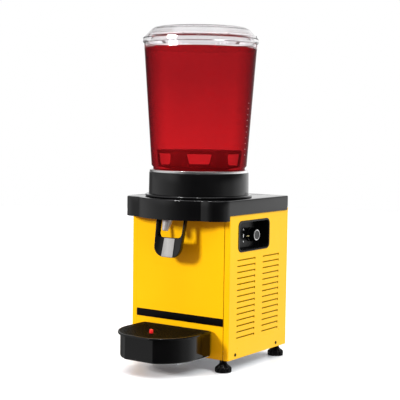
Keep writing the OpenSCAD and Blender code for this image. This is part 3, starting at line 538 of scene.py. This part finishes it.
def tap_parts():
    # paddle: hollow towards the cup, its window flaring open to the front
    front, rear = lever_outline(37.0, 33.6, 32.0, 31.2), lever_outline(36.4, 34.8, 27.6, 26.8)
    y0, y1 = 9.5, 19.5

    def hollow(x):
        return 8.0 * max(0.0, 1 - (x / 37.0) ** 2)

    def strips(bm, step):
        for k in range(-int(36 / step), int(36 / step) + 1):
            bmesh.ops.bisect_plane(bm, geom=bm.verts[:] + bm.edges[:] + bm.faces[:], dist=1e-5, plane_co=(k * step + 0.013, 0, 0), plane_no=(1, 0, 0))

    bm = bmesh.new()
    rings = []
    for d, y in edge_levels(y0, y1, 1.7, 1.7, 5):
        t = (y - y0) / (y1 - y0)
        pts = [((1 - t) * p[0] + t * q[0], (1 - t) * p[1] + t * q[1]) for p, q in zip(front, rear)]
        rings.append(ring(bm, inset(pts, d) if d > 1e-6 else pts, y))
    loft(bm, rings)
    strips(bm, 4.0)
    for v in bm.verts:
        x, z, y = v.co
        t = (y - y0) / (y1 - y0)
        fade = max(0.0, min(1.0, (8.0 - z) / 30.0))
        v.co = TAP @ Vector((x, y + (1 - t) * hollow(x) * fade, z))
    side = Matrix(((0, 0, 1, 0), (1, 0, 0, 0), (0, 1, 0, 0), (0, 0, 0, 1)))
    for s in (-1, 1):
        x0 = 29.6 if s > 0 else -36.9
        slab(bm, [(-3, 32), (14.5, 32), (14.5, 39.5), (-3, 39.5)], x0 + 0.3, x0 + 7.0, 0.6, 0.6, TAP @ side, 2)
        prof = rounded([(3.05, x0), (6.2, x0, 0.6), (6.2, x0 + 7.3, 0.6), (3.05, x0 + 7.3)])
        lathe(bm, prof, 32, TAP @ Matrix.Translation((0, 14.5, 35.5)) @ Matrix.Rotation(math.pi / 2, 4, "Y"))
    lathe(bm, rounded([(0, -35.5), (3, -35.5, 0.5), (3, 35.5, 0.5), (0, 35.5)]), 24, TAP @ Matrix.Translation((0, 0, 36.56)) @ Matrix.Rotation(math.pi / 2, 4, "Y"))
    piece("lever_paddle", bm, "lever", M["black_gloss"], ["tap_lever"])

    bm = bmesh.new()
    plan = rounded([(-14.4, -75.6, 1.2), (14.4, -75.6, 1.2), (13.4, -36, 1.2), (-13.4, -36, 1.2)], 4)
    slab(bm, plan, 13.75, 15.1, 0.5, 0, HERE, 3)
    strips(bm, 2.0)
    for v in bm.verts:
        x, z, y = v.co
        v.co = TAP @ Vector((x, y - 5.5 + hollow(x), z))
    piece("lever_plate", bm, "lever", M["brushed"], ["lever_insert"])

    bm = bmesh.new()
    prof = rounded([(3.6, -23.6, 0.5), (6.4, -23.6, 0.8), (10.8, -1.2, 0.8), (10.8, 0), (3.6, 0)])
    lathe(bm, prof, 64)
    for v in bm.verts:  # the nose leans a little further forward than the tap
        v.co = TAP @ Vector((v.co.x, v.co.y + 0.17 * v.co.z, v.co.z))
    piece("spout", bm, "cabinet", M["spout"], ["tap_spout"])


def tap_coil():
    """Return spring of the tap, its foot on the cap, drawn as a coil at rest."""
    bm = bmesh.new()
    wire, n = 0.34, 28
    rings = []
    for i in range(3 * n + 1):
        a, z = TAU * i / n, 25.5 + 5.5 * i / (3 * n)
        rings.append([bm.verts.new(TAP @ Vector(((4.6 + wire * math.cos(f)) * math.cos(a), (4.6 + wire * math.cos(f)) * math.sin(a), z + wire * math.sin(f))))
                      for f in (TAU * k / 10 for k in range(10))])
    loft(bm, rings)
    bmesh.ops.recalc_face_normals(bm, faces=bm.faces)
    bmesh.ops.scale(bm, vec=(MM, MM, MM), verts=bm.verts)
    me = bpy.data.meshes.new("tap_coil")
    bm.to_mesh(me)
    bm.free()
    me.shade_smooth()
    me.materials.append(M["stainless"])
    ob = bpy.data.objects.new("tap_coil", me)
    bpy.context.scene.collection.objects.link(ob)
    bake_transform(ob)
    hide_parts("tap_spring")


# ------------------------------------------------------------------ drip tray

def tray_ring(r, cy, yf, yb, rc, n=30):
    """Round-fronted outline with the nose cut flat at yf and small rear corners."""
    rc = max(rc, 0.3)
    xc = math.sqrt(max(1.0, r * r - (cy - yf) ** 2))
    a = math.degrees(math.asin(xc / r))
    ym = (cy + yb - rc) / 2
    return ([(-xc + 2 * xc * k / 6, yf) for k in range(6)] + arc(0, cy, r, -90 + a, 0, n) + [(r, ym)] + arc(r - rc, yb - rc, rc, 0, 90, 6)
            + [(r * 0.5, yb), (0, yb), (-r * 0.5, yb)] + arc(-r + rc, yb - rc, rc, 90, 180, 6) + [(-r, ym)] + arc(0, cy, r, 180, 270 - a, n)[:-1])


def tray_parts():
    bm = bmesh.new()
    steps = []
    for d, z in edge_levels(31.8, 79.2, 4, 0, 5):
        steps.append((86 - d, -58.5, -137 + d, -4 - d, max(0.4, 6 - d), z))
    for k, z in ((0.03, 79.7), (0.12, 80.1), (0.45, 80.5), (0.85, 80.7), (0.96, 81.0), (1.0, 81.7)):
        steps.append((86 + 2.5 * k, -58.5 - 4.5 * k, -137 - 9 * k, -4, 6 + 2 * k, z))
    for d, z in ((0, 82.9), (0.12, 83.6), (0.45, 84.2), (0.95, 84.65), (1.5, 84.9), (2.0, 85), (2.4, 85), (2.8, 84.8), (3.0, 84.3), (3.0, 81.3), (3.2, 81.0)):
        steps.append((88.5 - d, -63, -146 + d, -4 - d, 8 - d, z))
    steps += [(83.3, -58.5, -134.3, -7.5, 4.2, 81), (83, -58.5, -134, -7.7, 4, 80.6)]
    for d, z in reversed(edge_levels(34.8, 80, 4, 0, 5)[:-1]):
        steps.append((83 - d, -58.5, -134 + d, -7.7 - d, max(0.4, 4 - d), z))
    loft(bm, [ring(bm, tray_ring(r, FY + cy, FY + yf, FY + yb, rc), z) for r, cy, yf, yb, rc, z in steps])
    piece("tray_tub", bm, "tray", M["black_tray"], ["drip_tray"], 20)

    bm = bmesh.new()
    place = Matrix.Translation((0, FY - 95, 0))
    prof = rounded([(0, 35.1), (11, 35.1, 1.0), (11, 44.6, 1.5), (4, 44.8, 1.0), (4, 90.2), (3.6, 91.3, 0.6), (2.4, 91.9, 0.6), (0, 92)])
    lathe(bm, prof, 40, place)
    piece("float_pin", bm, "float", M["red_plastic"], ["tray_float"])


# ------------------------------------------------------------------ front and control details

def front_details():
    bm = bmesh.new()
    strip = rounded([(-111.4, 95.8, 0.8), (111.4, 95.8, 0.8), (111.4, 111.9, 0.8), (-111.4, 111.9, 0.8)], 3)
    place = Matrix(((1, 0, 0, 0), (0, 0, 1, 0), (0, 1, 0, 0), (0, 0, 0, 1)))
    slab(bm, strip, FY - 0.8, FY, 0.35, 0, place, 3)
    piece("strip_plate", bm, "cabinet", M["black_film"], ["name_strip"])

    # control recess: flange, side walls, floor, and the outside of the tub
    bm = bmesh.new()
    cy, cz = FY + 93, 279
    def frame_ring(w, h, r, x):
        return ring(bm, rrect(w, h, max(r, 0.5), cy, cz, 10), x, ALONG_X)
    rings = [frame_ring(118, 61, 10, 99.5), frame_ring(118, 61, 10, 125.0), frame_ring(123, 65, 12, 125.0), frame_ring(123, 65, 12, 125.6),
             frame_ring(122.7, 64.7, 11.85, 125.95), frame_ring(122, 64, 11.5, 126.2), frame_ring(115.6, 58.6, 8.8, 126.2), frame_ring(114.5, 57.5, 8.25, 125.9),
             frame_ring(114, 57, 8, 125.2), frame_ring(114, 57, 8, 104.5), frame_ring(113.4, 56.4, 7.7, 103.0), frame_ring(111.6, 54.6, 6.8, 102.2), frame_ring(109, 52, 5.5, 102.0)]
    loft(bm, rings)
    piece("control_housing", bm, "cabinet", M["black_bezel"], ["control_bezel"], 30)

    knob = Matrix.Translation((0, FY + 113, 277)) @ Matrix.Rotation(math.pi / 2, 4, "Y")
    def grip(r, x, a):
        return r - 0.45 * (0.5 + 0.5 * math.cos(24 * a)) if 12.4 < r < 13.5 and x > 107 else r
    bm = bmesh.new()
    prof = rounded([(3, 102.4), (15, 102.4, 0.4), (15, 105.2, 0.8), (13.4, 105.6, 0.5), (13, 107.6), (13, 117.2), (12.2, 118.8, 0.8), (11.6, 119), (11.6, 118), (9.2, 118), (9.2, 118.8), (8.4, 119, 0.4), (0, 118.6), (0, 114), (3, 114)], 4)
    lathe(bm, prof, 192, knob, grip)
    piece("knob_body", bm, "knob", M["black_gloss"], ["control_knob"], 30)
    bm = bmesh.new()
    prof = rounded([(9.2, 118), (11.6, 118), (11.6, 119.4, 0.35), (10.9, 119.8, 0.3), (9.9, 119.8, 0.3), (9.2, 119.4, 0.3)])
    lathe(bm, prof, 96, knob)
    piece("knob_ring", bm, "knob", M["chrome"], ["knob_cap"])
    # pointer rib at the foot of the knob, on the side that faces the marks
    bm = bmesh.new()
    y = FY + 113 - 15.0
    slab(bm, rounded([(102.9, -0.9, 0.5), (108.2, -0.9, 0.5), (108.2, 0.9, 0.5), (102.9, 0.9, 0.5)], 3), -2.3, 0.35, 0, 0.25,
         Matrix.Translation((0, y, 275)) @ Matrix.Rotation(math.pi / 2, 4, "X"), 2)
    piece("knob_pointer", bm, "knob", M["yellow_print"])
    bm = bmesh.new()
    for z, h in ((289.0, 3.6), (276.0, 7.6), (263.4, 3.6)):
        slab(bm, rrect(2.2, h, 1.05, FY + 87.4, z, 5), 101.95, 102.2, 0, 0.1, ALONG_X, 2)
    piece("dial_marks", bm, "cabinet", M["white_print"])


def feet():
    def scallop(r, z, a):
        return r - 2.3 * (0.5 + 0.5 * math.cos(12 * a)) * max(0.0, min(1.0, (r - 12.5) / 3.0)) if 1.2 < z < 12 else r
    for name, x, y in (("front_left", -106, FY + 12), ("front_right", 106, FY + 12), ("rear_left", -106, RY - 12), ("rear_right", 106, RY - 12)):
        bm = bmesh.new()
        prof = rounded([(0, 0), (16.6, 0, 0.8), (17.8, 1.6, 0.8), (17.8, 8.4, 1.6), (15.6, 10.8, 1.5), (9.6, 15.6, 2.5), (7.8, 19.2, 1.5), (7.8, 25.7, 0.4), (4.9, 25.7), (4.9, 40, 0.6), (0, 40)], 5)
        lathe(bm, prof, 144, Matrix.Translation((x, y, 0)), scallop)
        piece("foot_" + name, bm, "foot_" + name, M["rubber"], [name + "_foot"])


def screws():
    def hexed(r, z, a):
        return r * math.cos(math.pi / 6) / math.cos((a % (math.pi / 3)) - math.pi / 6) if r < 1.5 and z > 0.3 else r
    bm = bmesh.new()
    places = []
    for s in (-1, 1):
        for y in (FY + 27, FY + 190):
            places.append(Matrix.Translation((s * HW, y, 35)) @ Matrix.Rotation(s * math.pi / 2, 4, "Y"))
    for x in (-95, 95):
        places.append(Matrix.Translation((x, RY, 38)) @ Matrix.Rotation(-math.pi / 2, 4, "X"))
    for place in places:
        prof = [(0, -7), (1.2, -7), (1.6, -6.4), (1.6, 0), (3.4, 0), (3.4, 0.35), (3.1, 0.85), (2.5, 1.25), (1.9, 1.5), (1.35, 1.5), (1.3, 0.45), (0, 0.45)]
        lathe(bm, prof, 36, place, hexed)
    piece("screw_heads", bm, "cabinet", M["black_matte"], ["panel_screws"])


M["black_bezel"] = finish_of("black_bezel", (0.0012, 0.0012, 0.0013), (0.0028, 0.0028, 0.003), 40, (0.20, 0.30), 80, 1400, 0.06, 0.0001, specular=0.2)

top_cover()
collar_parts()
bowl_parts()
guard_cap()
tap_parts()
tap_coil()
tray_parts()
front_details()
feet()
screws()

# CAD nodes that stay, each with the finish of its slot
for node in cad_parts.values():
    for s in node.material_slots:
        n = s.material.name if s.material else ""
        s.material = M.get(n.split(".")[0], M["grey_plastic"])
for n, m in (("impeller", "guard_plastic"), ("drip_grid", "black_grid")):
    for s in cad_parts[n].material_slots:
        s.material = M[m]


# ------------------------------------------------------------------ studio

def stage_floor():
    bm = bmesh.new()
    pts = [(4200 * math.cos(TAU * k / 128), 4200 * math.sin(TAU * k / 128)) for k in range(128)]
    bm.faces.new([bm.verts.new((x * MM, y * MM, 0)) for x, y in pts])
    me = bpy.data.meshes.new("studio_floor")
    bm.to_mesh(me)
    bm.free()
    ob = bpy.data.objects.new("studio_floor", me)
    bpy.context.scene.collection.objects.link(ob)
    me.materials.append(finish_of("floor_white", (0.93, 0.93, 0.935), (0.95, 0.95, 0.95), 3, (0.30, 0.36), 8, specular=0.35))
    ob.visible_glossy = ob.visible_diffuse = False


def area(name, az, el, dist, w, h, watts, target=(0, 0, 0.3), colour=(1, 1, 1), shine=False, shade=True, spread=180):
    """A rectangular lamp; shine: seen in reflections, shade: lights the surfaces themselves."""
    a, e = math.radians(az), math.radians(el)
    back = Vector((math.sin(a) * math.cos(e), -math.cos(a) * math.cos(e), math.sin(e)))
    li = bpy.data.lights.new(name, "AREA")
    li.shape, li.size, li.size_y, li.energy, li.color = "RECTANGLE", w, h, watts, colour
    li.spread = math.radians(spread)
    ob = bpy.data.objects.new(name, li)
    bpy.context.scene.collection.objects.link(ob)
    ob.location = Vector(target) + back * dist
    ob.rotation_euler = (-back).to_track_quat("-Z", "Y").to_euler()
    ob.visible_glossy, ob.visible_diffuse, ob.visible_camera = shine, shade, False
    if not shade:
        ob.visible_transmission = False


def studio():
    """White sweep behind, dark room in front, a pale panel on the left and a ceiling panel."""
    world = bpy.data.worlds.new("studio")
    bpy.context.scene.world = world
    world.use_nodes = True
    nt = world.node_tree
    bg = nt.nodes["Background"]
    co = nt.nodes.new("ShaderNodeTexCoord")
    sp = nt.nodes.new("ShaderNodeSeparateXYZ")
    nt.links.new(co.outputs["Generated"], sp.inputs["Vector"])
    neg = nt.nodes.new("ShaderNodeMath")
    neg.operation = "MULTIPLY"
    neg.inputs[1].default_value = -1.0
    nt.links.new(sp.outputs["Y"], neg.inputs[0])
    at = nt.nodes.new("ShaderNodeMath")
    at.operation = "ARCTAN2"
    nt.links.new(sp.outputs["X"], at.inputs[0])
    nt.links.new(neg.outputs["Value"], at.inputs[1])
    tu = nt.nodes.new("ShaderNodeMapRange")
    tu.inputs["From Min"].default_value = -math.pi
    tu.inputs["From Max"].default_value = math.pi
    nt.links.new(at.outputs["Value"], tu.inputs["Value"])
    grey = lambda x: (x, x, x)
    # brightness round the room, 0 straight in front and + to the right: below eye level, then above it
    low = [(-180, 1.24), (-140, 0.5), (-125, 0.11), (-109, 0.12), (-93, 0.43), (-77, 0.61), (-61, 0.64), (-45, 0.60), (-29, 0.52), (-13, 0.28), (3, 0.14), (19, 0.08),
           (51, 0.10), (67, 0.14), (83, 0.22), (99, 0.43), (115, 0.55), (131, 0.88), (147, 1.12), (163, 1.2), (180, 1.24)]
    high = [(-180, 1.2), (-135, 1.0), (-122, 0.30), (-85, 0.28), (-70, 0.65), (-33, 0.95), (-20, 0.70), (-5, 0.20), (20, 0.10), (110, 0.12), (128, 0.22), (150, 0.30), (162, 1.1), (180, 1.2)]
    def around(table):
        return ramp(nt, tu.outputs["Result"], [((d + 180) / 360, grey(x)) for d, x in table])

    def blend(fac, a, b):
        m = nt.nodes.new("ShaderNodeMix")
        m.data_type = "RGBA"
        nt.links.new(fac, m.inputs[0])
        for i, c in ((6, a), (7, b)):
            if isinstance(c, tuple):
                m.inputs[i].default_value = (*c, 1)
            else:
                nt.links.new(c, m.inputs[i])
        return m.outputs[2]

    def above(e0, e1):
        u = nt.nodes.new("ShaderNodeMapRange")
        u.interpolation_type = "SMOOTHSTEP"
        u.inputs["From Min"].default_value = math.sin(math.radians(e0))
        u.inputs["From Max"].default_value = math.sin(math.radians(e1))
        nt.links.new(sp.outputs["Z"], u.inputs["Value"])
        return u.outputs["Result"]

    room = blend(above(-1, 4), around(low), around(high))
    room = blend(above(54, 66), room, grey(2.7))
    # what lights the surfaces
    soft = ramp(nt, tu.outputs["Result"], [((d + 180) / 360, c) for d, c in ((-180, grey(1.0)), (-120, grey(0.8)), (-90, (0.46, 0.30, 0.34)), (-30, (0.44, 0.24, 0.30)), (40, (0.44, 0.25, 0.30)), (70, grey(0.8)), (110, grey(1.1)), (180, grey(1.0)))])
    soft = blend(above(48, 62), soft, grey(2.9))
    # what shows through the clear pieces: the white sweep behind, darker to the sides and above
    through = around([(-180, 1.0), (-100, 1.0), (-82, 0.5), (-60, 0.3), (-25, 0.55), (50, 0.55), (85, 0.3), (118, 0.42), (138, 1.0), (180, 1.0)])
    through = blend(above(16, 30), through, grey(0.46))
    through = blend(above(38, 58), through, grey(0.06))
    lp = nt.nodes.new("ShaderNodeLightPath")
    room = blend(lp.outputs["Is Glossy Ray"], soft, room)
    room = blend(lp.outputs["Is Transmission Ray"], room, through)
    nt.links.new(blend(lp.outputs["Is Camera Ray"], room, grey(1.0)), bg.inputs["Color"])
    area("key", -24, 19, 2.6, 0.50, 0.46, 76, (0, -0.05, 0.28), (1.0, 0.99, 0.97))
    area("spark", -24, 58, 2.4, 0.30, 0.14, 14.0, (0, 0, 0.36), shine=True, shade=False)
    area("fill_right", 78, 40, 2.3, 0.9, 0.9, 31, (0.05, 0, 0.25), (0.93, 1.02, 1.05))
    area("softbox", -17, -2.0, 0.45, 0.13, 0.13, 2.4, (0, 0, 0.69), shine=True, shade=False, spread=50)
    area("fill_low", 82, 6, 1.6, 0.6, 0.25, 1.4, (0.1, 0.06, 0.05), (0.95, 1.0, 1.04))
    area("glint", 33, 48, 2.4, 0.34, 0.10, 5.0, (0, 0, 0.36), shine=True, shade=False)


def camera():
    az, pi_, ro = math.radians(34.639), math.radians(4.119), math.radians(0.825)
    back = Vector((math.sin(az) * math.cos(pi_), -math.cos(az) * math.cos(pi_), math.sin(pi_)))
    fwd = -back
    right = fwd.cross(Vector((0, 0, 1))).normalized()
    up = right.cross(fwd)
    r2 = math.cos(ro) * right + math.sin(ro) * up
    u2 = -math.sin(ro) * right + math.cos(ro) * up
    cam = bpy.data.cameras.new("camera")
    cam.sensor_width = 36.0
    cam.lens = 1081.67 / 400 * 36
    cam.clip_start, cam.clip_end = 0.05, 50
    ob = bpy.data.objects.new("camera", cam)
    bpy.context.scene.collection.objects.link(ob)
    ob.matrix_world = Matrix(((r2.x, u2.x, back.x, 1.3140), (r2.y, u2.y, back.y, -1.8765), (r2.z, u2.z, back.z, 0.5132), (0, 0, 0, 1)))
    bpy.context.scene.camera = ob


stage_floor()
studio()
camera()
bpy.context.scene.view_settings.view_transform = "Standard"
bpy.context.scene.cycles.use_denoising = True
